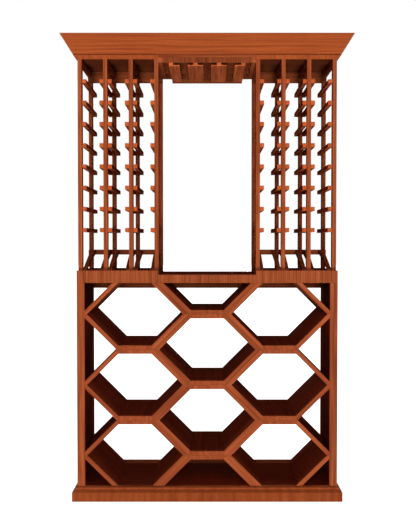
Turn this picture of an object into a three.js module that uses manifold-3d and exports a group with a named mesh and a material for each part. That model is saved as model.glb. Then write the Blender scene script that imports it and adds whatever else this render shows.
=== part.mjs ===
// Wine rack: a honeycomb cabinet below two columns of bottle ladders, with an open middle bay,
// a stem-glass rack and a crown moulding. Millimetres, +Z up, front towards -Y.
// The origin is on the floor, at the middle of the rack's bounding box.
import * as THREE from 'three';
import { mergeVertices } from 'three/addons/utils/BufferGeometryUtils.js';
import Module from 'manifold-3d';

// ---- driving dimensions ------------------------------------------------------------------------

const BOARD = 19;               // all boards and rails are planed from the same stock
const GAP = 0.3;                // clearance where sloping or trimmed faces meet

const HEIGHT = 2130;
const DEPTH = 485;              // crown front to the cabinet's rear
const CABINET_HALF = 599;
const FACE_TOP = 1005;          // underside of the cabinet's top panel
const DECK_TOP = 68;
const BASE_RAIL_TOP = 74;       // it stands up behind the deck as a low lip
const FIRST_BIN = 209;          // centre height of the lowest bins
const STILE_WIDTH = 35.5;
const BIN_HALF_INNER = 144;     // half the clear height of a hexagonal bin
const REAR_RAIL_DROP = 46;

const COLUMN_HALF = 593.5;      // outer face of the outermost ladder
const LADDER_PITCH = 117;
const LADDER_COUNT = 4;
const CABINET_DEPTH = 415;      // behind the face frame
const LADDER_DEPTH = 380;       // the columns and the bins stop short of the cabinet's rear
const UPRIGHT_DEPTH = 38;
const RACK_BASE = 1062;         // top of the boards that the ladders stand on
const ROOF_BOTTOM = 2037;
const TOP_RAIL_BOTTOM = 1985;     // of the rear rails
const SIDE_RAIL_BOTTOM = 2009;    // of the rails along each ladder's top
const ROWS = 8;
const FIRST_ROW = 1248;         // centre height of the lowest pair of bottle rails
const ROW_PITCH = 97.4;
const RAIL_SETBACK = 10;        // rail ends stand this far behind the uprights' faces

const CRADLE_RAIL = [1130, 1155];
const CRADLE_SLOPE = 0.352;     // rise per millimetre towards the back

const BED_BOTTOM = 2027;
const CROWN_BOTTOM = 2047;
const CROWN_FOOT = 19;          // how far the crown's foot stands proud of the uprights
const CROWN_REACH = 70;         // how far its top edge does
const CROWN_THICKNESS = 16;

const PLINTH_PROUD = 22;
const PLINTH_SHOULDER = 37;
const PLINTH_TOP = 62;

const SLAT_BOTTOM = 2012.5;
const SLAT_COUNT = 4;
const SLAT_DEPTH = 20;
const FLANGE_THICKNESS = 6;
const FOOT_SLOT = 10;           // room for a glass foot between a flange and the slats
const GLASS_PITCH = 108;
const GLASS_SLOT = 36;
const NECK_WIDTH = 19.5;
const OUTER_FLANGE = 49;
const STOP_THICKNESS = 12;
const STOP_DROP = 5;            // how far the glass stop hangs below the flanges
const CLEAT_INNER = 204;

// ---- derived positions -------------------------------------------------------------------------

const REAR = DEPTH / 2;
const RACK_FRONT = REAR - CABINET_DEPTH;            // front plane of the uprights
const RACK_REAR = RACK_FRONT + LADDER_DEPTH;
const FACE_FRONT = RACK_FRONT - BOARD;              // front plane of the face frame
const PANEL_INNER = CABINET_HALF - BOARD;
const STILE_INNER = CABINET_HALF - STILE_WIDTH;
const COUNTER_TOP = FACE_TOP + 2 * BOARD;
const INNER_FACE = COLUMN_HALF - (LADDER_COUNT - 1) * LADDER_PITCH - BOARD;   // of the middle bay
const CROSS_RAIL = [RACK_REAR - UPRIGHT_DEPTH - BOARD, RACK_REAR - UPRIGHT_DEPTH];   // front, rear
const RACK_CENTRES = Array.from({ length: LADDER_COUNT },
  (_, i) => INNER_FACE + BOARD / 2 + i * LADDER_PITCH);

// ---- colours -----------------------------------------------------------------------------------

const wood = (color, roughness) =>
  new THREE.MeshStandardMaterial({ color, roughness, metalness: 0 });
const CASE_WOOD = wood(0xa0502c, 0.45);
const BIN_WOOD = wood(0xa04e2b, 0.45);
const LADDER_WOOD = wood(0xa04f2b, 0.5);
const MOULDING_WOOD = wood(0xa65027, 0.42);

// ---- shapes ------------------------------------------------------------------------------------

function block([x0, x1], [y0, y1], [z0, z1]) {
  const shape = new THREE.BoxGeometry(x1 - x0, y1 - y0, z1 - z0);
  return shape.translate((x0 + x1) / 2, (y0 + y1) / 2, (z0 + z1) / 2);
}

const axis = (x, y, z) => new THREE.Vector3(x, y, z);
const outline = (points) => new THREE.Shape(points.map(([u, v]) => new THREE.Vector2(u, v)));

function extruded(shape, length) {
  return new THREE.ExtrudeGeometry(shape, { depth: length, bevelEnabled: false });
}

// An (x, z) outline carried from y0 to y1.
function alongY(shape, [y0, y1]) {
  const turn = new THREE.Matrix4().makeBasis(axis(1, 0, 0), axis(0, 0, 1), axis(0, -1, 0));
  return extruded(shape, y1 - y0).applyMatrix4(turn).translate(0, y1, 0);
}

// A (y, z) outline carried from x0 to x1.
function alongX(shape, [x0, x1]) {
  const turn = new THREE.Matrix4().makeBasis(axis(0, 1, 0), axis(0, 0, 1), axis(1, 0, 0));
  return extruded(shape, x1 - x0).applyMatrix4(turn).translate(x0, 0, 0);
}

// ---- boolean joins and cuts --------------------------------------------------------------------

const manifold = await Module();
manifold.setup();

function toSolid(geometry) {
  const bare = geometry.clone();
  bare.deleteAttribute('normal');
  bare.deleteAttribute('uv');
  const merged = mergeVertices(bare, 1e-4);
  return new manifold.Manifold(new manifold.Mesh({
    numProp: 3,
    vertProperties: new Float32Array(merged.attributes.position.array),
    triVerts: new Uint32Array(merged.index.array),
  }));
}

function toGeometry(solid) {
  const { vertProperties, triVerts } = solid.getMesh();
  const geometry = new THREE.BufferGeometry();
  geometry.setAttribute('position', new THREE.BufferAttribute(vertProperties, 3));
  geometry.setIndex(new THREE.BufferAttribute(triVerts, 1));
  return geometry;
}

const joined = (shapes) => toGeometry(shapes.map(toSolid).reduce((a, b) => a.add(b)));
const cut = (shape, tools) =>
  toGeometry(tools.map(toSolid).reduce((a, b) => a.subtract(b), toSolid(shape)));

// ---- the scene graph ---------------------------------------------------------------------------

const rack = new THREE.Group();

function addTo(group, name, geometry, material) {
  const mesh = new THREE.Mesh(geometry, material);
  mesh.name = name;
  group.add(mesh);
  return mesh;
}

const SIDES = [['left', -1], ['right', 1]];
const span = (side, inner, outer) => (side < 0 ? [-outer, -inner] : [inner, outer]);

// ---- lower cabinet -----------------------------------------------------------------------------

function cabinet() {
  const group = new THREE.Group();
  const add = (name, ...ranges) => addTo(group, name, block(...ranges), CASE_WOOD);
  const behind = [RACK_FRONT, REAR];
  const face = [FACE_FRONT, RACK_FRONT];
  const back = [REAR - BOARD, REAR];
  const between = [-PANEL_INNER, PANEL_INNER];
  const across = [-CABINET_HALF, CABINET_HALF];

  for (const [word, side] of SIDES) {
    add(`side_panel_${word}`, span(side, PANEL_INNER, CABINET_HALF), behind, [0, FACE_TOP]);
    add(`stile_${word}`, span(side, STILE_INNER, CABINET_HALF), face, [0, FACE_TOP]);
    add(`column_base_${word}`, span(side, INNER_FACE, COLUMN_HALF), [RACK_FRONT, RACK_REAR],
      [COUNTER_TOP, RACK_BASE]);
  }
  add('bottom_face_rail', [-STILE_INNER, STILE_INNER], face, [0, DECK_TOP]);
  add('cabinet_deck', between, [RACK_FRONT, REAR - BOARD], [DECK_TOP - BOARD, DECK_TOP]);
  add('rear_base_rail', between, back, [0, BASE_RAIL_TOP]);
  add('rear_top_rail', between, back, [FACE_TOP - REAR_RAIL_DROP, FACE_TOP]);
  add('cabinet_top_panel', across, behind, [FACE_TOP, FACE_TOP + BOARD]);
  add('counter_top', across, behind, [FACE_TOP + BOARD, COUNTER_TOP]);

  // One board across the front: level with the counter in the middle bay, and stepped up under
  // the two columns.
  const stepped = outline([
    [-CABINET_HALF, FACE_TOP], [CABINET_HALF, FACE_TOP], [CABINET_HALF, RACK_BASE],
    [INNER_FACE, RACK_BASE], [INNER_FACE, COUNTER_TOP], [-INNER_FACE, COUNTER_TOP],
    [-INNER_FACE, RACK_BASE], [-CABINET_HALF, RACK_BASE],
  ]);
  addTo(group, 'top_face_rail', alongY(stepped, face), CASE_WOOD);
  return group;
}

// ---- honeycomb of bins -------------------------------------------------------------------------

// Hexagon with level top and bottom and 45 degree sides, as a list of corners.
function hexagon(x, z, halfHeight, flat) {
  const tip = flat / 2 + halfHeight;
  return [
    [x - flat / 2, z - halfHeight], [x + flat / 2, z - halfHeight], [x + tip, z],
    [x + flat / 2, z + halfHeight], [x - flat / 2, z + halfHeight], [x - tip, z],
  ];
}

function honeycomb() {
  const group = new THREE.Group();
  const half = BIN_HALF_INNER + BOARD;
  const cornerShift = 2 * Math.tan(Math.PI / 8);      // how much a 45 degree flat grows per offset
  // Three stacks side by side just fill the width between the side panels.
  const flat = (PANEL_INNER - GAP - 2 * half) / 1.5;
  const stackPitch = flat + half;

  const binShape = (x, z) => {
    const shell = outline(hexagon(x, z, half - GAP / 2, flat - cornerShift * GAP / 2));
    shell.holes.push(new THREE.Path(
      hexagon(x, z, BIN_HALF_INNER, flat - cornerShift * BOARD).map(([u, v]) => new THREE.Vector2(u, v))));
    return alongY(shell, [FACE_FRONT, RACK_REAR]);
  };

  // The deck and the cabinet top close the end bins, and the stiles trim the outer tips.
  const wide = [-CABINET_HALF, CABINET_HALF];
  const deep = [FACE_FRONT - 1, REAR];
  const trims = [
    block(wide, deep, [-half, DECK_TOP + GAP]),
    block(wide, deep, [FACE_TOP - GAP, FACE_TOP + 3 * half]),
    ...SIDES.map(([, side]) => block(span(side, STILE_INNER - GAP, CABINET_HALF),
      [FACE_FRONT - 1, RACK_FRONT + GAP], [0, FACE_TOP])),
  ];
  const add = (name, x, z) => addTo(group, name, cut(binShape(x, z), trims), BIN_WOOD);

  for (const [word, side] of SIDES) {
    for (let level = 0; level < 3; level += 1) {
      add(`hex_bin_${word}_${level + 1}`, side * stackPitch, FIRST_BIN + level * 2 * half);
    }
  }
  for (let level = 0; level < 2; level += 1) {
    add(`hex_bin_middle_${level + 1}`, 0, FIRST_BIN + (2 * level + 1) * half);
  }
  add('half_bin_bottom', 0, FIRST_BIN - half);
  add('half_bin_top', 0, FIRST_BIN + 5 * half);
  return group;
}

// ---- plinth, bed and crown mouldings -----------------------------------------------------------

// Each profile is a list of [proud, z] corners, where proud is measured out from the wall faces.
// A front piece is mitred at both ends and a side piece at its front end only.
function mouldingFront(profile, wallHalf, wallFront) {
  const shape = outline(profile.map(([proud, z]) => [-proud, z]));
  const strip = alongX(shape, [-1, 1]);
  const place = strip.attributes.position;
  for (let i = 0; i < place.count; i += 1) {
    const proud = -place.getY(i);
    place.setX(i, Math.sign(place.getX(i)) * (wallHalf + proud - GAP));
    place.setY(i, wallFront - proud);
  }
  return strip;
}

function mouldingSide(profile, side, wallHalf, wallFront, rear) {
  const shape = outline(profile.map(([proud, z]) => [side * (wallHalf + proud), z]));
  const strip = alongY(shape, [wallFront, rear]);
  const place = strip.attributes.position;
  for (let i = 0; i < place.count; i += 1) {
    if (place.getY(i) < 0) {
      place.setY(i, wallFront - (Math.abs(place.getX(i)) - wallHalf) + GAP);
    }
  }
  return strip;
}

function plinth() {
  const group = new THREE.Group();
  const edge = 2;
  const profile = [
    [0, 0], [PLINTH_PROUD, 0], [PLINTH_PROUD, PLINTH_SHOULDER], [edge, PLINTH_TOP], [0, PLINTH_TOP],
  ];
  addTo(group, 'plinth_front', mouldingFront(profile, CABINET_HALF, FACE_FRONT), MOULDING_WOOD);
  for (const [word, side] of SIDES) {
    const strip = mouldingSide(profile, side, CABINET_HALF, FACE_FRONT, REAR);
    addTo(group, `plinth_${word}`, strip, MOULDING_WOOD);
  }
  return group;
}

function crown() {
  const group = new THREE.Group();
  const lean = Math.atan2(CROWN_REACH - CROWN_FOOT, HEIGHT - CROWN_BOTTOM);
  const level = CROWN_THICKNESS / Math.cos(lean);     // the board's thickness measured level
  const board = [
    [CROWN_FOOT - level, CROWN_BOTTOM], [CROWN_FOOT, CROWN_BOTTOM],
    [CROWN_REACH, HEIGHT], [CROWN_REACH - level, HEIGHT],
  ];
  addTo(group, 'crown_front', mouldingFront(board, COLUMN_HALF, RACK_FRONT), MOULDING_WOOD);

  // A raking bed moulding under the crown, on the heads of the columns only.
  const edge = 2.5;
  const bed = [
    [0, BED_BOTTOM], [edge, BED_BOTTOM], [CROWN_FOOT - 1, CROWN_BOTTOM], [0, CROWN_BOTTOM],
  ];
  for (const [word, side] of SIDES) {
    const returned = (profile) => mouldingSide(profile, side, COLUMN_HALF, RACK_FRONT, RACK_REAR);
    addTo(group, `crown_${word}`, returned(board), MOULDING_WOOD);
    addTo(group, `bed_side_${word}`, returned(bed), MOULDING_WOOD);
    const inner = span(side, 0, INNER_FACE);
    const unwanted = side < 0 ? [-INNER_FACE, COLUMN_HALF * 2] : [-COLUMN_HALF * 2, inner[1]];
    const strip = cut(mouldingFront(bed, COLUMN_HALF, RACK_FRONT),
      [block(unwanted, [-DEPTH, 0], [0, HEIGHT])]);
    addTo(group, `bed_front_${word}`, strip, MOULDING_WOOD);
  }
  return group;
}

// ---- columns of bottle ladders -----------------------------------------------------------------

// Side of a display cradle: it slopes up behind the front board, then runs level to the cross rail.
function cradleShape() {
  const [low, high] = CRADLE_RAIL;
  const front = RACK_FRONT + 12;
  const foot = RACK_FRONT + 30;
  const knee = RACK_FRONT + (high - RACK_BASE) / CRADLE_SLOPE;
  const belly = (foot + knee) / 2 + 24;
  const rise = (y) => RACK_BASE + (y - RACK_FRONT) * CRADLE_SLOPE;
  return outline([
    [front, RACK_BASE], [foot, RACK_BASE], [belly, rise(belly) - BOARD - 1],
    [CROSS_RAIL[0], low + 6], [CROSS_RAIL[0], high], [knee, high], [front, rise(front)],
  ]);
}

// Two uprights and a top side rail, with bottle rails on one face or on both.
function ladder(centre, railSides) {
  const stock = [centre - BOARD / 2, centre + BOARD / 2];
  const pieces = [
    block(stock, [RACK_FRONT, RACK_FRONT + UPRIGHT_DEPTH], [RACK_BASE, ROOF_BOTTOM]),
    block(stock, [RACK_REAR - UPRIGHT_DEPTH, RACK_REAR], [RACK_BASE, ROOF_BOTTOM]),
    block(stock, [RACK_FRONT + UPRIGHT_DEPTH - 1, CROSS_RAIL[0]], [SIDE_RAIL_BOTTOM, ROOF_BOTTOM]),
  ];
  const bite = 0.5;                                   // rails are let this far into the uprights
  for (const side of railSides) {
    const near = centre + side * (BOARD / 2 - bite);
    const far = centre + side * (BOARD / 2 + BOARD);
    const width = [Math.min(near, far), Math.max(near, far)];
    for (let row = 0; row < ROWS; row += 1) {
      const z = FIRST_ROW + row * ROW_PITCH;
      pieces.push(block(width, [RACK_FRONT + RAIL_SETBACK, RACK_REAR], [z - BOARD / 2, z + BOARD / 2]));
    }
    pieces.push(alongX(cradleShape(), width));
  }
  return joined(pieces);
}

function columns() {
  const group = new THREE.Group();
  for (const [word, side] of SIDES) {
    RACK_CENTRES.forEach((centre, i) => {
      const railSides = [];
      if (i > 0) railSides.push(-side);
      if (i < LADDER_COUNT - 1) railSides.push(side);
      addTo(group, `ladder_${word}_${i + 1}`, ladder(side * centre, railSides), LADDER_WOOD);
    });
    const across = span(side, INNER_FACE, COLUMN_HALF);
    addTo(group, `cradle_cross_rail_${word}`, block(across, CROSS_RAIL, CRADLE_RAIL), LADDER_WOOD);
    addTo(group, `column_top_rail_${word}`,
      block(across, CROSS_RAIL, [TOP_RAIL_BOTTOM, ROOF_BOTTOM]), LADDER_WOOD);
  }
  const roof = block([-COLUMN_HALF, COLUMN_HALF], [RACK_FRONT, RACK_REAR],
    [ROOF_BOTTOM, ROOF_BOTTOM + BOARD]);
  addTo(group, 'roof_panel', roof, CASE_WOOD);
  return group;
}

// ---- stem-glass rack ---------------------------------------------------------------------------

function stemRack() {
  const group = new THREE.Group();
  const run = [RACK_FRONT, RACK_REAR];
  const height = [SLAT_BOTTOM, ROOF_BOTTOM];
  const step = (LADDER_DEPTH - SLAT_DEPTH) / (SLAT_COUNT - 1);
  for (let i = 0; i < SLAT_COUNT; i += 1) {
    const front = RACK_FRONT + i * step;
    const slat = block([-CLEAT_INNER, CLEAT_INNER], [front, front + SLAT_DEPTH], height);
    addTo(group, `stem_slat_${i + 1}`, slat, LADDER_WOOD);
  }

  const stopFront = RACK_REAR - STOP_THICKNESS;
  const hang = [RACK_FRONT, stopFront];
  const neckBottom = SLAT_BOTTOM - FOOT_SLOT;
  const flangeBottom = neckBottom - FLANGE_THICKNESS;
  const inner = GLASS_PITCH + GLASS_SLOT / 2;
  const outer = inner + OUTER_FLANGE;
  // A flange [x0, x1] hanging from a neck centred on x.
  const hanger = (x, x0, x1) => alongY(outline([
    [x0, flangeBottom], [x1, flangeBottom], [x1, neckBottom], [x + NECK_WIDTH / 2, neckBottom],
    [x + NECK_WIDTH / 2, SLAT_BOTTOM], [x - NECK_WIDTH / 2, SLAT_BOTTOM],
    [x - NECK_WIDTH / 2, neckBottom], [x0, neckBottom],
  ]), hang);
  const edgeHanger = (side) => alongY(outline([
    [side * inner, flangeBottom], [side * outer, flangeBottom], [side * outer, SLAT_BOTTOM],
    [side * (outer - NECK_WIDTH), SLAT_BOTTOM], [side * (outer - NECK_WIDTH), neckBottom],
    [side * inner, neckBottom],
  ]), hang);
  for (const [word, side] of SIDES) {
    const middle = side * GLASS_PITCH / 2;
    const halfFlange = (GLASS_PITCH - GLASS_SLOT) / 2;
    addTo(group, `stem_rail_inner_${word}`,
      hanger(middle, middle - halfFlange, middle + halfFlange), LADDER_WOOD);
    addTo(group, `stem_rail_outer_${word}`, edgeHanger(side), LADDER_WOOD);
    addTo(group, `stem_cleat_${word}`,
      block(span(side, CLEAT_INNER, INNER_FACE), run, height), LADDER_WOOD);
  }
  const stop = block([-outer, outer], [stopFront, RACK_REAR], [flangeBottom - STOP_DROP, SLAT_BOTTOM]);
  addTo(group, 'glass_stop', stop, LADDER_WOOD);
  return group;
}

rack.add(cabinet(), honeycomb(), plinth(), columns(), stemRack(), crown());

export default rack;
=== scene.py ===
"""A tall wooden wine rack: honeycomb cabinet, two columns of bottle ladders, stem-glass rack, crown.

Every board is its own eased, mitred or profiled piece, placed from the frame's boxes. Metres, +Z up,
front towards -Y.
"""
import math
import random

import bmesh
import bpy
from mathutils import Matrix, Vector


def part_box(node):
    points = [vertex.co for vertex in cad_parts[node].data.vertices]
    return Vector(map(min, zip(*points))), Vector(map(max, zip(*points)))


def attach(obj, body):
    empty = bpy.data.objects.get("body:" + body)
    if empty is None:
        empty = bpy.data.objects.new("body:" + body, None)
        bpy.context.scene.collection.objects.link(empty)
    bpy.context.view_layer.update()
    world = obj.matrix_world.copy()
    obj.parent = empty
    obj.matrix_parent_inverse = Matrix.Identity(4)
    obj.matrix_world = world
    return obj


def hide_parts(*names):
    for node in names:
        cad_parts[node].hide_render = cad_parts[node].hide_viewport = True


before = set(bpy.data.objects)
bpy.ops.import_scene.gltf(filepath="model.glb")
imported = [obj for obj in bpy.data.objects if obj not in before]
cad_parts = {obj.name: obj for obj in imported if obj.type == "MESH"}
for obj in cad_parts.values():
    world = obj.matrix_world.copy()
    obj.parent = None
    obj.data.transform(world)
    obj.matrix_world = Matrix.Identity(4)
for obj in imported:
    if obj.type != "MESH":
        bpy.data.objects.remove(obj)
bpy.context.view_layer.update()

draw = random.Random(11)

# ---- sizes of the stock, in metres -------------------------------------------------------------

BOARD = 0.019
EASE = 0.0012                   # sanded edge of a board
FINE_EASE = 0.0005              # edge of a board that butts flush against its neighbour
SHARP = math.radians(25)        # edges that turn by more than this are eased

UPRIGHT_DEPTH = 0.038
RAIL_SETBACK = 0.010            # from the front of an upright to the ends of its rails
FIRST_ROW = 1.248               # height of the lowest row of bottle rails
ROW_PITCH = 0.0974
ROWS = 8
LADDER_COUNT = 4
SIDE_RAIL_HEIGHT = 0.028

CRADLE_SLOPE = 0.352
CRADLE_NOSE = 0.012             # from the front of the column to the cradle's blunt nose
CRADLE_FOOT = 0.030             # and to the back of the flat that it stands on
CRADLE_DEPTH = 0.020            # from the sloping edge down to the cut-out
CRADLE_BELLY = 0.024            # how far behind the middle of the slope the cut-out turns
CRADLE_HEEL = 0.006             # from the foot of the cross rail up to the cradle's lower edge

PLINTH_SHOULDER = 0.042         # top of the plinth's flat face
PLINTH_LEDGE = 0.0085, 0.0535   # end of the slope above it, as (proud, height)
BEAD_CENTRE = 0.0035, 0.0585
BEAD_RADIUS = 0.006

CROWN_FOOT = 0.019              # how proud of the columns the crown starts
CROWN_THICKNESS = 0.016
BED_FOOT = 0.0025               # how proud of the columns the bed moulding starts
GROOVE_HEIGHT = 0.003           # shadow groove between the bed moulding and the crown
GROOVE_DEPTH = 0.012

LIPPING = 0.008                 # solid edge along the front of the roof panel
FLANGE = 0.006                  # thickness of a stem rail's flanges
NECK = 0.0195                   # and the width of the part above them

# ---- how light boards are coloured, where 1 is the timber's own colour; most of these are painted light and shade ---

# Painted shade: the rear rails, the columns' top rails and the glass stop are coloured darker, as they
# lie in shade.
REAR_PAINTED_SHADE = 0.5
# Painted light: the bottle rails are coloured lighter so that their shaded sides look lit, the outmost
# ladder's rails most.
INNER_RAIL_PAINTED_LIGHT = 1.15
OUTER_RAIL_PAINTED_LIGHT = 1.5
INNER_RAIL_SAWN = 0.6           # how bare the sawn ends of the bottle rails are
OUTER_RAIL_SAWN = 0.0
PLINTH_STAIN = 0.82
PLINTH_FIGURE = 2.6             # the front's grain is this many times broader than other boards'
# Painted shade: the roof's front lipping is darkened as if in the crown's shadow.
LIPPING_PAINTED_SHADE = 0.75
# Painted shade: the roof panel is coloured dark for the shade under it between the slats.
ROOF_PAINTED_SHADE = 0.38
# Painted shade: the stem rack's slats are coloured darker, the rear ones most, for the shade on their
# fronts.
FRONT_SLAT_PAINTED_SHADE = 0.65
SLAT_PAINTED_SHADE = 0.45
# Painted light: the stem rails are coloured lighter so their flanges' undersides look lit from below.
HANGER_PAINTED_LIGHT = 1.5

# ---- directions and tolerances -----------------------------------------------------------------

X, Y, Z = Vector((1, 0, 0)), Vector((0, 1, 0)), Vector((0, 0, 1))
SIDES = (("left", -1), ("right", 1))
TOUCHING = 0.001                # lengths that differ by less than this are taken as equal
ON_PLANE = 1e-5                 # a corner that is this close to a plane lies on it


# ---- mesh work ---------------------------------------------------------------------------------

def prism(points, sweep, mesh=None):
    """A closed solid: a flat outline carried along one vector, added to a bmesh."""
    bm = mesh or bmesh.new()
    face = bm.faces.new([bm.verts.new(p) for p in points])
    moved = bmesh.ops.extrude_face_region(bm, geom=[face])["geom"]
    corners = [v for v in moved if isinstance(v, bmesh.types.BMVert)]
    bmesh.ops.translate(bm, verts=corners, vec=sweep)
    bmesh.ops.recalc_face_normals(bm, faces=bm.faces)
    return bm


def stick(low, high, mesh=None):
    """A square-edged board that fills a box."""
    corners = [(low.x, low.y, low.z), (high.x, low.y, low.z),
               (high.x, low.y, high.z), (low.x, low.y, high.z)]
    return prism(corners, Y * (high.y - low.y), mesh)


def trim(bm, point, outward):
    """Cuts away what lies beyond a plane and closes the cut."""
    geom = [*bm.verts, *bm.edges, *bm.faces]
    cut = bmesh.ops.bisect_plane(bm, geom=geom, dist=1e-6, plane_co=point, plane_no=outward,
                                 clear_outer=True)
    rim = [e for e in cut["geom_cut"] if isinstance(e, bmesh.types.BMEdge)]
    if rim and any(e.is_boundary for e in rim):
        bmesh.ops.contextual_create(bm, geom=rim)
    bmesh.ops.recalc_face_normals(bm, faces=bm.faces)


def ease(bm, size, keep_square=None):
    """Rounds the sharp edges and returns the new faces. keep_square picks edges to leave alone."""
    sharp = [e for e in bm.edges if e.calc_face_angle(0) > SHARP]
    if keep_square:
        sharp = [e for e in sharp if not keep_square(e)]
    made = bmesh.ops.bevel(bm, geom=sharp, offset=size, offset_type="OFFSET", affect="EDGES",
                           segments=2, profile=0.5, material=-1, clamp_overlap=True)
    return set(made["faces"])


def shells(bm):
    """The separate solids of a bmesh, each as a list of vertices."""
    left = set(bm.verts)
    while left:
        group, reach = [], [left.pop()]
        while reach:
            vert = reach.pop()
            group.append(vert)
            for edge in vert.link_edges:
                other = edge.other_vert(vert)
                if other in left:
                    left.remove(other)
                    reach.append(other)
        yield group


def lay_grain(bm, along, across, apart, given_staining_and_painted_light, breadth):
    """Gives each board its own run of grain: lengths along, across and through the board, and its
    lightness, which holds its staining and painted light and shade.
    """
    grain = bm.verts.layers.float_vector.new("grain")
    tone = bm.verts.layers.float.new("tone")
    through = along.cross(across)
    groups = sorted(shells(bm), key=lambda g: tuple(round(c, 4) for c in min(v.co[:] for v in g)))
    if not apart:
        groups = [[v for g in groups for v in g]]
    for group in groups:
        middle = sum((v.co for v in group), Vector()) / len(group)
        # Each board comes from another length of timber and lies beside its pith.
        start = Vector((draw.uniform(0, 40), draw.uniform(-0.05, 0.05), draw.uniform(0.05, 0.16)))
        # A board's lightness holds its staining and painted light and shade, varied a little at
        # random.
        staining_and_painted_light = given_staining_and_painted_light * draw.uniform(0.93, 1.07)
        for vert in group:
            p = vert.co - middle
            vert[grain] = Vector((p.dot(along), p.dot(across) / breadth, p.dot(through))) + start
            vert[tone] = staining_and_painted_light


def finish_piece(name, bm, wood, nodes, along=Z, across=X, size=EASE, apart=True, sawn=0.0,
                 staining_and_painted_light=1.0, breadth=1.0, keep_square=None):
    """Eases the edges, lays the grain with the board's staining and painted light, and hands the piece
    to the frame.
    """
    worn_faces = ease(bm, size, keep_square)
    worn = bm.faces.layers.float.new("worn")
    cut_end = bm.faces.layers.float.new("sawn")
    bm.normal_update()
    for face in bm.faces:
        face[worn] = float(face in worn_faces)
        face[cut_end] = sawn if abs(face.normal.dot(along)) > 0.9 else 0.0
    lay_grain(bm, along, across, apart, staining_and_painted_light, breadth)
    data = bpy.data.meshes.new(name)
    bm.to_mesh(data)
    bm.free()
    data.materials.append(WOODS[wood])
    piece = bpy.data.objects.new(name, data)
    bpy.context.scene.collection.objects.link(piece)
    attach(piece, "root")
    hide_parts(*nodes)
    return piece


# ---- shader maths ------------------------------------------------------------------------------

class Value:
    """A socket of a material, with Python's operators for the Math nodes."""

    def __init__(self, tree, socket):
        self.tree, self.socket = tree, socket

    def maths(self, operation, *others):
        terms = dict(enumerate((self, *others)))
        return self.tree.node("ShaderNodeMath", {"operation": operation}, terms)

    def __add__(self, other):
        return self.maths("ADD", other)

    __radd__ = __add__

    def __mul__(self, other):
        return self.maths("MULTIPLY", other)

    __rmul__ = __mul__

    def __sub__(self, other):
        return self.maths("SUBTRACT", other)

    def __rsub__(self, other):
        return self.tree.node("ShaderNodeMath", {"operation": "SUBTRACT"}, {0: other, 1: self})

    def rises(self, start, end):
        """0 up to start and 1 from end on."""
        return self.tree.node("ShaderNodeMapRange", {"interpolation_type": "SMOOTHSTEP"},
                              {"Value": self, "From Min": start, "From Max": end})


class Tree:
    """The nodes of one material."""

    def __init__(self, node_tree):
        self.links = node_tree.links
        self.nodes = node_tree.nodes
        self.nodes.clear()

    def node(self, kind, settings=None, inputs=None, output=0):
        made = self.nodes.new(kind)
        for key, value in (settings or {}).items():
            if key == "stops":
                self.set_stops(made.color_ramp, value)
            else:
                setattr(made, key, value)
        for key, value in (inputs or {}).items():
            if isinstance(value, Value):
                self.links.new(value.socket, made.inputs[key])
            else:
                made.inputs[key].default_value = value
        return Value(self, made.outputs[output]) if len(made.outputs) else None

    @staticmethod
    def set_stops(ramp, stops):
        while len(ramp.elements) < len(stops):
            ramp.elements.new(1.0)
        for element, (place, colour) in zip(ramp.elements, stops):
            element.position = place
            element.color = (*colour, 1.0)


# ---- wood --------------------------------------------------------------------------------------

def shade(colour, *factors):
    """A colour made lighter or darker, by one factor or by one for each channel."""
    factors = factors if len(factors) == 3 else factors * 3
    return tuple(min(1.0, c * f) for c, f in zip(colour, factors))


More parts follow.
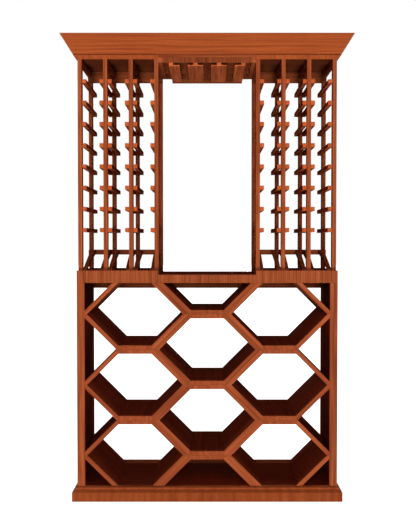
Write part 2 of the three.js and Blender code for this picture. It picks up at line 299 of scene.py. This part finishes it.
def stained_wood(name, body, roughness, contrast):
    """Red-stained timber: streaks, growth rings, fibres, pores, rubbed edges and sawn ends, scaled by
    each board's lightness, which holds painted light and shade.
    """
    material = bpy.data.materials.new(name)
    material.use_nodes = True
    tree = Tree(material.node_tree)
    grain = tree.node("ShaderNodeAttribute", {"attribute_name": "grain"}, output="Vector")

    def face_value(attribute):
        return tree.node("ShaderNodeAttribute", {"attribute_name": attribute}, output="Fac")

    def stretched(along, across, through):
        return tree.node("ShaderNodeVectorMath", {"operation": "MULTIPLY"},
                         {0: grain, 1: (along, across, through)})

    def noise(place, detail, raggedness=0.5):
        return tree.node("ShaderNodeTexNoise", None, {
            "Vector": place, "Scale": 1.0, "Detail": detail, "Roughness": raggedness})

    def ramp(factor, *stops):
        return tree.node("ShaderNodeValToRGB", {"stops": stops}, {"Fac": factor})

    def mixed(factor, first, second):
        return tree.node("ShaderNodeMix", {"data_type": "RGBA"}, {0: factor, 6: first, 7: second},
                         output=2)

    streaks = noise(stretched(2.2, 95.0, 22.0), 3.0, 0.6)
    fibres = noise(stretched(16.0, 700.0, 300.0), 2.0, 0.6)
    pores = noise(stretched(55.0, 2600.0, 1800.0), 1.0).rises(0.60, 0.74)
    clouds = noise(stretched(3.0, 14.0, 10.0), 1.0)

    pith = tree.node("ShaderNodeVectorMath", {"operation": "LENGTH"},
                     {0: stretched(0.0, 1.0, 1.0)}, output="Value")
    rings = (pith * 620.0 + noise(stretched(1.3, 9.0, 9.0), 2.0) * 34.0).maths("SINE") * 0.5 + 0.5

    average = 0.895
    figure = streaks * 1.05 + rings * 0.16 + fibres * 0.34 + clouds * 0.24 - average
    colour = ramp(figure * contrast + 0.5,
                  (0.18, shade(body, 0.60, 0.54, 0.52)), (0.42, shade(body, 0.88, 0.85, 0.85)),
                  (0.58, shade(body, 1.08, 1.10, 1.10)), (0.86, shade(body, 1.42, 1.60, 1.70)))
    colour = mixed(pores * 0.45, colour, (*shade(body, 0.42), 1.0))
    worn = face_value("worn") * (0.10 + 0.30 * streaks)
    colour = mixed(worn, colour, (*shade(body, 1.35, 1.5, 1.6), 1.0))
    sawn = face_value("sawn")
    speckle = noise(stretched(260.0, 260.0, 260.0), 2.0, 0.7) * 0.6 + rings * 0.4
    ends = ramp(speckle, (0.25, shade(body, 1.3, 1.0, 0.7)), (0.75, shade(body, 2.0, 1.7, 1.2)))
    colour = mixed(sawn, colour, ends)
    # Each board's lightness scales the colour; it holds painted light and shade.
    colour = tree.node("ShaderNodeVectorMath", {"operation": "SCALE"},
                       {0: colour, "Scale": face_value("tone")})

    bump = tree.node("ShaderNodeBump", None, {
        "Height": fibres * 0.5 + streaks * 0.4 - pores * 0.8, "Strength": 0.35, "Distance": 0.0005})
    shader = tree.node("ShaderNodeBsdfPrincipled", None, {
        "Base Color": colour, "Roughness": roughness + fibres * 0.14 + pores * 0.12 + sawn * 0.15,
        "Normal": bump, "Specular IOR Level": 0.3})
    tree.node("ShaderNodeOutputMaterial", None, {"Surface": shader})
    return material


WOODS = {
    "case_wood": stained_wood("case_timber", (0.350, 0.080, 0.026), roughness=0.44, contrast=1.25),
    "bin_wood": stained_wood("bin_timber", (0.350, 0.076, 0.025), roughness=0.44, contrast=1.1),
    "ladder_wood": stained_wood("ladder_timber", (0.350, 0.078, 0.025), roughness=0.48,
                                contrast=1.2),
    "moulding_wood": stained_wood("moulding_timber", (0.380, 0.080, 0.021), roughness=0.42,
                                  contrast=0.7),
}


# ---- lower cabinet -----------------------------------------------------------------------------

def plain_boards(boards, wood, staining_and_painted_light=1.0):
    """One eased board for each CAD node that is a plain board: (node, along, across)."""
    for node, along, across in boards:
        low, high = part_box(node)
        finish_piece(f"{node}_board", stick(low, high), wood, [node], along, across, staining_and_painted_light=staining_and_painted_light)


def cabinet():
    """Panels, deck and face frame. The top rail steps down to the counter in the middle bay."""
    # Painted shade: the rear rails are coloured darker because they lie in shade.
    plain_boards([("rear_base_rail", X, Z), ("rear_top_rail", X, Z)], "case_wood", REAR_PAINTED_SHADE)
    boards = [("bottom_face_rail", X, Z), ("cabinet_deck", X, Y), ("cabinet_top_panel", X, Y),
              ("counter_top", X, Y)]
    for word, _ in SIDES:
        boards += [(f"side_panel_{word}", Z, Y), (f"stile_{word}", Z, X),
                   (f"column_base_{word}", Y, X)]
    plain_boards(boards, "case_wood")

    low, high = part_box("top_face_rail")
    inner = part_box("column_base_right")[0].x
    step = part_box("counter_top")[1].z
    outline = [(low.x, low.z), (high.x, low.z), (high.x, high.z), (inner, high.z),
               (inner, step), (-inner, step), (-inner, high.z), (low.x, high.z)]
    rail = prism([(x, low.y, z) for x, z in outline], Y * (high.y - low.y))
    finish_piece("top_face_rail_board", rail, "case_wood", ["top_face_rail"], Z, X)


# ---- honeycomb of bins -------------------------------------------------------------------------

WALL_NAMES = ("floor", "lower_right", "upper_right", "ceiling", "upper_left", "lower_left")


def hexagon(x, z, half, flat):
    """Corners of a hexagon with level top and bottom and 45 degree sides, floor first."""
    tip = flat / 2 + half
    return [(x - flat / 2, z - half), (x + flat / 2, z - half), (x + tip, z),
            (x + flat / 2, z + half), (x - flat / 2, z + half), (x - tip, z)]


def honeycomb():
    """Three stacks of bins. The side stacks stand half a bin lower than the middle one."""
    low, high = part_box("hex_bin_middle_1")
    half = (high.z - low.z) / 2
    flat = high.x - low.x - 2 * half
    first = (low.z + high.z) / 2
    pitch = (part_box("hex_bin_middle_2")[0].z - low.z) / 2
    levels = {"half_bin_bottom": first - 2 * pitch, "half_bin_top": first + 4 * pitch}
    for level in range(2):
        levels[f"hex_bin_middle_{level + 1}"] = first + 2 * level * pitch
    for word, _ in SIDES:
        for level in range(3):
            levels[f"hex_bin_{word}_{level + 1}"] = first + (2 * level - 1) * pitch

    stile_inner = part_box("bottom_face_rail")[1].x
    stile_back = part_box("stile_left")[1].y
    for node, z in levels.items():
        low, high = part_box(node)
        x = (low.x + high.x) / 2
        outer = hexagon(x, z, half, flat)
        inner = hexagon(x, z, half - BOARD, flat - 2 * math.tan(math.pi / 8) * BOARD)
        for i, wall in enumerate(WALL_NAMES):
            j = (i + 1) % 6
            corners = [outer[i], outer[j], inner[j], inner[i]]
            below = all(v < low.z + TOUCHING for _, v in corners)
            above = all(v > high.z - TOUCHING for _, v in corners)
            if not (below or above):
                bin_wall(f"{node}_{wall}", node, corners, low, high, stile_inner, stile_back)


def bin_wall(name, node, corners, low, high, stile_inner, stile_back):
    """One mitred wall of a bin. Its tip is notched where it passes behind a stile."""
    (u0, v0), (u1, v1) = corners[:2]
    outside = max(abs(u) for u, _ in corners) > stile_inner
    side = math.copysign(1, corners[0][0])

    def slab(front, back):
        bm = prism([(u, front, v) for u, v in corners], Y * (back - front))
        trim(bm, (0, 0, low.z), -Z)
        trim(bm, (0, 0, high.z), Z)
        return bm

    wall = slab(low.y, high.y)
    if outside:
        trim(wall, (side * stile_inner, 0, 0), X * side)
        tip = slab(stile_back, high.y)
        trim(tip, (side * stile_inner, 0, 0), -X * side)
        extra = bpy.data.meshes.new("tip")
        tip.to_mesh(extra)
        tip.free()
        wall.from_mesh(extra)
        bpy.data.meshes.remove(extra)
    slope = Vector((u1 - u0, 0, v1 - v0)).normalized()
    along, across = (Y, X) if abs(v1 - v0) < TOUCHING else (slope, slope.cross(Y))

    def at_stile(edge):
        return outside and all(abs(abs(v.co.x) - stile_inner) < ON_PLANE for v in edge.verts)

    finish_piece(name, wall, "bin_wood", [node], along, across, FINE_EASE, apart=False,
                 keep_square=at_stile)


# ---- plinth, bed and crown mouldings -----------------------------------------------------------

# A profile is a list of (proud, height) corners, with proud measured out from the wall faces.

def arc(centre, radius, start, end, steps):
    """Points on an arc of a profile, with angles in degrees."""
    angles = [math.radians(start + (end - start) * i / steps) for i in range(steps + 1)]
    return [(centre[0] + radius * math.cos(a), centre[1] + radius * math.sin(a)) for a in angles]


def front_moulding(profile, wall_front, start, end):
    """A strip across the front from start to end, before its ends are mitred."""
    return prism([(start, wall_front - proud, z) for proud, z in profile], X * (end - start))


def side_moulding(profile, wall_half, wall_front, side, rear):
    """A return down one side, mitred at its front end."""
    reach = max(proud for proud, _ in profile)
    front = wall_front - reach
    outline = [(side * (wall_half + proud), front, z) for proud, z in profile]
    strip = prism(outline, Y * (rear - front))
    trim(strip, (side * wall_half, wall_front, 0), Vector((-side, -1, 0)))
    return strip


def mitred_front(profile, wall_front, wall_half, reach):
    """A strip right across the front, mitred at both ends."""
    strip = front_moulding(profile, wall_front, -wall_half - reach, wall_half + reach)
    for _, side in SIDES:
        trim(strip, (side * wall_half, wall_front, 0), Vector((side, 1, 0)))
    return strip


def plinth():
    """A flat face with a slope and a bead above it, mitred at the front corners."""
    wall_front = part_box("stile_left")[0].y
    wall_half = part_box("side_panel_right")[1].x
    proud = wall_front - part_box("plinth_front")[0].y
    profile = [(0, 0), (proud, 0), (proud, PLINTH_SHOULDER), PLINTH_LEDGE,
               *arc(BEAD_CENTRE, BEAD_RADIUS, -35, 90, 5), (0, BEAD_CENTRE[1] + BEAD_RADIUS)]
    front = mitred_front(profile, wall_front, wall_half, proud)
    finish_piece("plinth_front_moulding", front, "moulding_wood", ["plinth_front"], Z, X, FINE_EASE,
                 staining_and_painted_light=PLINTH_STAIN, breadth=PLINTH_FIGURE)
    for word, side in SIDES:
        strip = side_moulding(profile, wall_half, wall_front, side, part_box("plinth_right")[1].y)
        finish_piece(f"plinth_{word}_moulding", strip, "moulding_wood", [f"plinth_{word}"], Y, Z,
                     FINE_EASE, staining_and_painted_light=PLINTH_STAIN)


def crown():
    """The sloping crown board and the bed moulding under it, mitred at the front corners."""
    wall_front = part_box("ladder_left_1")[0].y
    wall_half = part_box("column_base_right")[1].x
    low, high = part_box("crown_right")
    reach = high.x - wall_half
    level = CROWN_THICKNESS / math.cos(math.atan2(reach - CROWN_FOOT, high.z - low.z))
    board = [(CROWN_FOOT - level, low.z), (CROWN_FOOT, low.z), (reach, high.z),
             (reach - level, high.z)]
    front = mitred_front(board, wall_front, wall_half, reach)
    finish_piece("crown_front_moulding", front, "moulding_wood", ["crown_front"], X, Z)

    bed_low, bed_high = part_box("bed_side_right")
    brow, groove = bed_high.x - wall_half, bed_high.z - GROOVE_HEIGHT
    bed = [(0, bed_low.z), (BED_FOOT, bed_low.z), (brow, groove), (brow - GROOVE_DEPTH, groove),
           (brow - GROOVE_DEPTH, bed_high.z), (0, bed_high.z)]
    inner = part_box("column_base_right")[0].x
    for word, side in SIDES:
        strip = side_moulding(board, wall_half, wall_front, side, high.y)
        finish_piece(f"crown_{word}_moulding", strip, "moulding_wood", [f"crown_{word}"], Y, Z)
        strip = side_moulding(bed, wall_half, wall_front, side, high.y)
        finish_piece(f"bed_side_{word}_moulding", strip, "moulding_wood", [f"bed_side_{word}"],
                     Y, Z, FINE_EASE)
        strip = front_moulding(bed, wall_front, side * inner, side * (wall_half + BOARD))
        trim(strip, (side * wall_half, wall_front, 0), Vector((side, 1, 0)))
        finish_piece(f"bed_front_{word}_moulding", strip, "moulding_wood", [f"bed_front_{word}"],
                     Z, X, FINE_EASE)


# ---- columns of bottle ladders -----------------------------------------------------------------

def cradle_outline(front, cross, low, high, base):
    """Side view of a display cradle as (y, z): sloped in front, level behind, with a cut-out belly."""
    nose, foot = front + CRADLE_NOSE, front + CRADLE_FOOT
    knee = front + (high - base) / CRADLE_SLOPE
    belly = (foot + knee) / 2 + CRADLE_BELLY

    def rise(y):
        return base + (y - front) * CRADLE_SLOPE

    return [(nose, base), (foot, base), (belly, rise(belly) - CRADLE_DEPTH),
            (cross, low + CRADLE_HEEL), (cross, high), (knee, high), (nose, rise(nose))]


def ladder(word, side, i, centre, cradle):
    """Uprights, top rail, cradle sides and bottle rails of a ladder. Number 0 is the inmost."""
    node = f"ladder_{word}_{i + 1}"
    base_low, base_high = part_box(f"column_base_{word}")
    front, rear, base = base_low.y, base_high.y, base_high.z
    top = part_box(f"column_top_rail_{word}")[1].z
    tie_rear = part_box(f"cradle_cross_rail_{word}")[0].y
    near, far = centre - BOARD / 2, centre + BOARD / 2

    post = Vector((near, front, base)), Vector((far, front + UPRIGHT_DEPTH, top))
    finish_piece(f"{node}_front_upright", stick(*post), "ladder_wood", [node])
    post = Vector((near, rear - UPRIGHT_DEPTH, base)), Vector((far, rear, top))
    finish_piece(f"{node}_rear_upright", stick(*post), "ladder_wood", [node])
    tie = (Vector((near, front + UPRIGHT_DEPTH, top - SIDE_RAIL_HEIGHT)),
           Vector((far, tie_rear, top)))
    finish_piece(f"{node}_top_side_rail", stick(*tie), "ladder_wood", [node], Y, Z)

    rails = bmesh.new()
    for face, place in ((-1, "inner"), (1, "outer")):
        if 0 <= i + face < LADDER_COUNT:
            outward = face * side
            start, end = sorted((centre + outward * BOARD / 2, centre + outward * BOARD * 1.5))
            for row in range(ROWS):
                z = FIRST_ROW + row * ROW_PITCH
                stick(Vector((start, front + RAIL_SETBACK, z - BOARD / 2)),
                      Vector((end, rear, z + BOARD / 2)), rails)
            plank = prism([(start, y, v) for y, v in cradle], X * (end - start))
            finish_piece(f"{node}_{place}_cradle_side", plank, "ladder_wood", [node], Y, Z)
    outmost = i == LADDER_COUNT - 1
    # Painted light: the bottle rails are coloured lighter so their shaded sides look lit.
    finish_piece(f"{node}_bottle_rails", rails, "ladder_wood", [node], Y, Z,
                 sawn=OUTER_RAIL_SAWN if outmost else INNER_RAIL_SAWN,
                 staining_and_painted_light=OUTER_RAIL_PAINTED_LIGHT if outmost else INNER_RAIL_PAINTED_LIGHT)


def columns():
    """Four ladders in each column, and the rails across their backs."""
    base_low, base_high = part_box("column_base_right")
    pitch = (base_high.x - base_low.x - BOARD) / (LADDER_COUNT - 1)
    cross_low, cross_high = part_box("cradle_cross_rail_right")
    cradle = cradle_outline(base_low.y, cross_low.y, cross_low.z, cross_high.z, base_high.z)
    for word, side in SIDES:
        for i in range(LADDER_COUNT):
            ladder(word, side, i, side * (base_low.x + BOARD / 2 + i * pitch), cradle)
        plain_boards([(f"cradle_cross_rail_{word}", X, Z)], "ladder_wood")
        # Painted shade: the top rail across the column's back is coloured darker, as it lies in shade.
        plain_boards([(f"column_top_rail_{word}", X, Z)], "ladder_wood", REAR_PAINTED_SHADE)


def roof():
    """The roof panel and the solid lipping along its front."""
    low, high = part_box("roof_panel")
    joint = low.y + LIPPING
    edge = stick(low, Vector((high.x, joint, high.z)))
    # Painted shade: the lipping is darkened as if in the crown's shadow.
    finish_piece("roof_lipping", edge, "case_wood", ["roof_panel"], X, Z, FINE_EASE,
                 staining_and_painted_light=LIPPING_PAINTED_SHADE)
    panel = stick(Vector((low.x, joint, low.z)), high)
    # Painted shade: the panel is coloured dark for the shade under it between the slats.
    finish_piece("roof_panel_board", panel, "case_wood", ["roof_panel"], X, Y, FINE_EASE,
                 staining_and_painted_light=ROOF_PAINTED_SHADE)


# ---- stem-glass rack ---------------------------------------------------------------------------

def hanger_outline(low, high, flush):
    """End view of a stem rail as (x, z). The flanges reach past its neck, but not on a flush side."""
    middle = (low.x + high.x) / 2
    if flush:
        middle = max(low.x, high.x, key=abs) - flush * NECK / 2
    left, right, ledge = middle - NECK / 2, middle + NECK / 2, low.z + FLANGE
    outline = [(low.x, low.z), (high.x, low.z)]
    if flush <= 0:
        outline += [(high.x, ledge), (right, ledge)]
    outline += [(right, high.z), (left, high.z)]
    if flush >= 0:
        outline += [(left, ledge), (low.x, ledge)]
    return outline


def stem_rack():
    """Cross slats, a stop behind the slots, cleats, and the rails that glasses hang from."""
    slats = sorted(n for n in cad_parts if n.startswith("stem_slat"))
    # Painted shade: the slats are coloured darker for the shade on their fronts.
    plain_boards([(slats[0], Z, X)], "ladder_wood", FRONT_SLAT_PAINTED_SHADE)
    plain_boards([(node, Z, X) for node in slats[1:]], "ladder_wood", SLAT_PAINTED_SHADE)
    # Painted shade: the glass stop is coloured darker, as it lies in shade behind the slots.
    plain_boards([("glass_stop", X, Z)], "ladder_wood", REAR_PAINTED_SHADE)
    for word, side in SIDES:
        plain_boards([(f"stem_cleat_{word}", Y, Z)], "ladder_wood")
        for kind, flush in (("inner", 0), ("outer", side)):
            node = f"stem_rail_{kind}_{word}"
            low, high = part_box(node)
            outline = hanger_outline(low, high, flush)
            hanger = prism([(x, low.y, z) for x, z in outline], Y * (high.y - low.y))
            # Painted light: each stem rail is coloured lighter so its flanges' undersides look lit.
            finish_piece(f"{node}_hanger", hanger, "ladder_wood", [node], Y, X, staining_and_painted_light=HANGER_PAINTED_LIGHT)


# ---- studio ------------------------------------------------------------------------------------

def sun(name, strength, direction, spread, colour, glints=False):
    """A soft light from far away, shining along a direction. Only a light with glints is reflected."""
    data = bpy.data.lights.new(name, "SUN")
    data.energy = strength
    data.color = colour
    data.angle = math.radians(spread)
    lamp = bpy.data.objects.new(name, data)
    lamp.rotation_mode = "QUATERNION"
    lamp.rotation_quaternion = Vector(direction).to_track_quat("-Z", "Y")
    lamp.visible_glossy = glints
    bpy.context.scene.collection.objects.link(lamp)


def pale_floor():
    """A wide floor that only the camera sees, so it neither shades the rack nor lights it."""
    mesh = bpy.data.meshes.new("floor")
    bm = bmesh.new()
    bmesh.ops.create_grid(bm, x_segments=1, y_segments=1, size=40.0)
    bm.to_mesh(mesh)
    bm.free()
    floor = bpy.data.objects.new("floor", mesh)
    bpy.context.scene.collection.objects.link(floor)
    paint = bpy.data.materials.new("pale_floor")
    paint.use_nodes = True
    tree = Tree(paint.node_tree)
    shader = tree.node("ShaderNodeBsdfPrincipled", None, {
        "Base Color": (0.9, 0.9, 0.9, 1.0), "Roughness": 0.9, "Specular IOR Level": 0.0,
        "Emission Color": (1.0, 1.0, 1.0, 1.0), "Emission Strength": 0.78})
    tree.node("ShaderNodeOutputMaterial", None, {"Surface": shader})
    mesh.materials.append(paint)
    floor.visible_diffuse = False
    floor.visible_glossy = False
    floor.visible_shadow = False


def room():
    """A white backdrop for the camera, and a faint warm light from all around for the wood."""
    world = bpy.data.worlds.new("studio")
    world.use_nodes = True
    tree = Tree(world.node_tree)
    seen = tree.node("ShaderNodeLightPath", output="Is Camera Ray")
    mirrored = tree.node("ShaderNodeLightPath", output="Is Glossy Ray")
    glow = tree.node("ShaderNodeBackground", None, {
        "Color": (1.0, 0.6, 0.5, 1.0), "Strength": 0.08 - mirrored * 0.07})
    backdrop = tree.node("ShaderNodeBackground", None, {
        "Color": (1.0, 1.0, 1.0, 1.0), "Strength": 1.0})
    sky = tree.node("ShaderNodeMixShader", None, {0: seen, 1: glow, 2: backdrop})
    tree.node("ShaderNodeOutputWorld", None, {"Surface": sky})
    bpy.context.scene.world = world


def lamps():
    """Even light from the front and above, with warm fills that glint on the wood."""
    daylight, warm = (1.0, 1.0, 1.0), (1.0, 0.75, 0.65)
    sun("key_light", 1.2, (0.0, 1.0, 0.0), 12.0, daylight)
    sun("low_key_light", 2.2, (0.0, 1.0, 0.7), 12.0, daylight)
    sun("left_fill", 0.5, (1.0, 0.1, -0.1), 40.0, warm, glints=True)
    sun("right_fill", 0.5, (-1.0, 0.1, -0.1), 40.0, warm, glints=True)
    sun("back_fill", 2.0, (0.0, -1.0, 0.0), 10.0, daylight)
    sun("top_fill", 2.0, (0.0, 0.0, -1.0), 10.0, daylight)
    sun("floor_fill", 0.4, (0.0, 0.0, 1.0), 10.0, warm)


def camera():
    """Stands in front, a little above the rack's middle, and looks slightly down."""
    distance, height, off_centre = 3.713, 1.188, 0.0037
    lens = bpy.data.cameras.new("camera")
    lens.sensor_width = 36.0
    lens.lens = 54.6
    stand = bpy.data.objects.new("camera", lens)
    stand.location = (off_centre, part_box("ladder_left_1")[0].y - distance, height)
    stand.rotation_euler = (math.radians(88.367), 0.0, 0.0)
    bpy.context.scene.collection.objects.link(stand)
    bpy.context.scene.camera = stand


def studio():
    bpy.context.scene.view_settings.view_transform = "Standard"
    pale_floor()
    room()
    lamps()
    camera()


cabinet()
honeycomb()
plinth()
columns()
roof()
stem_rack()
crown()
studio()
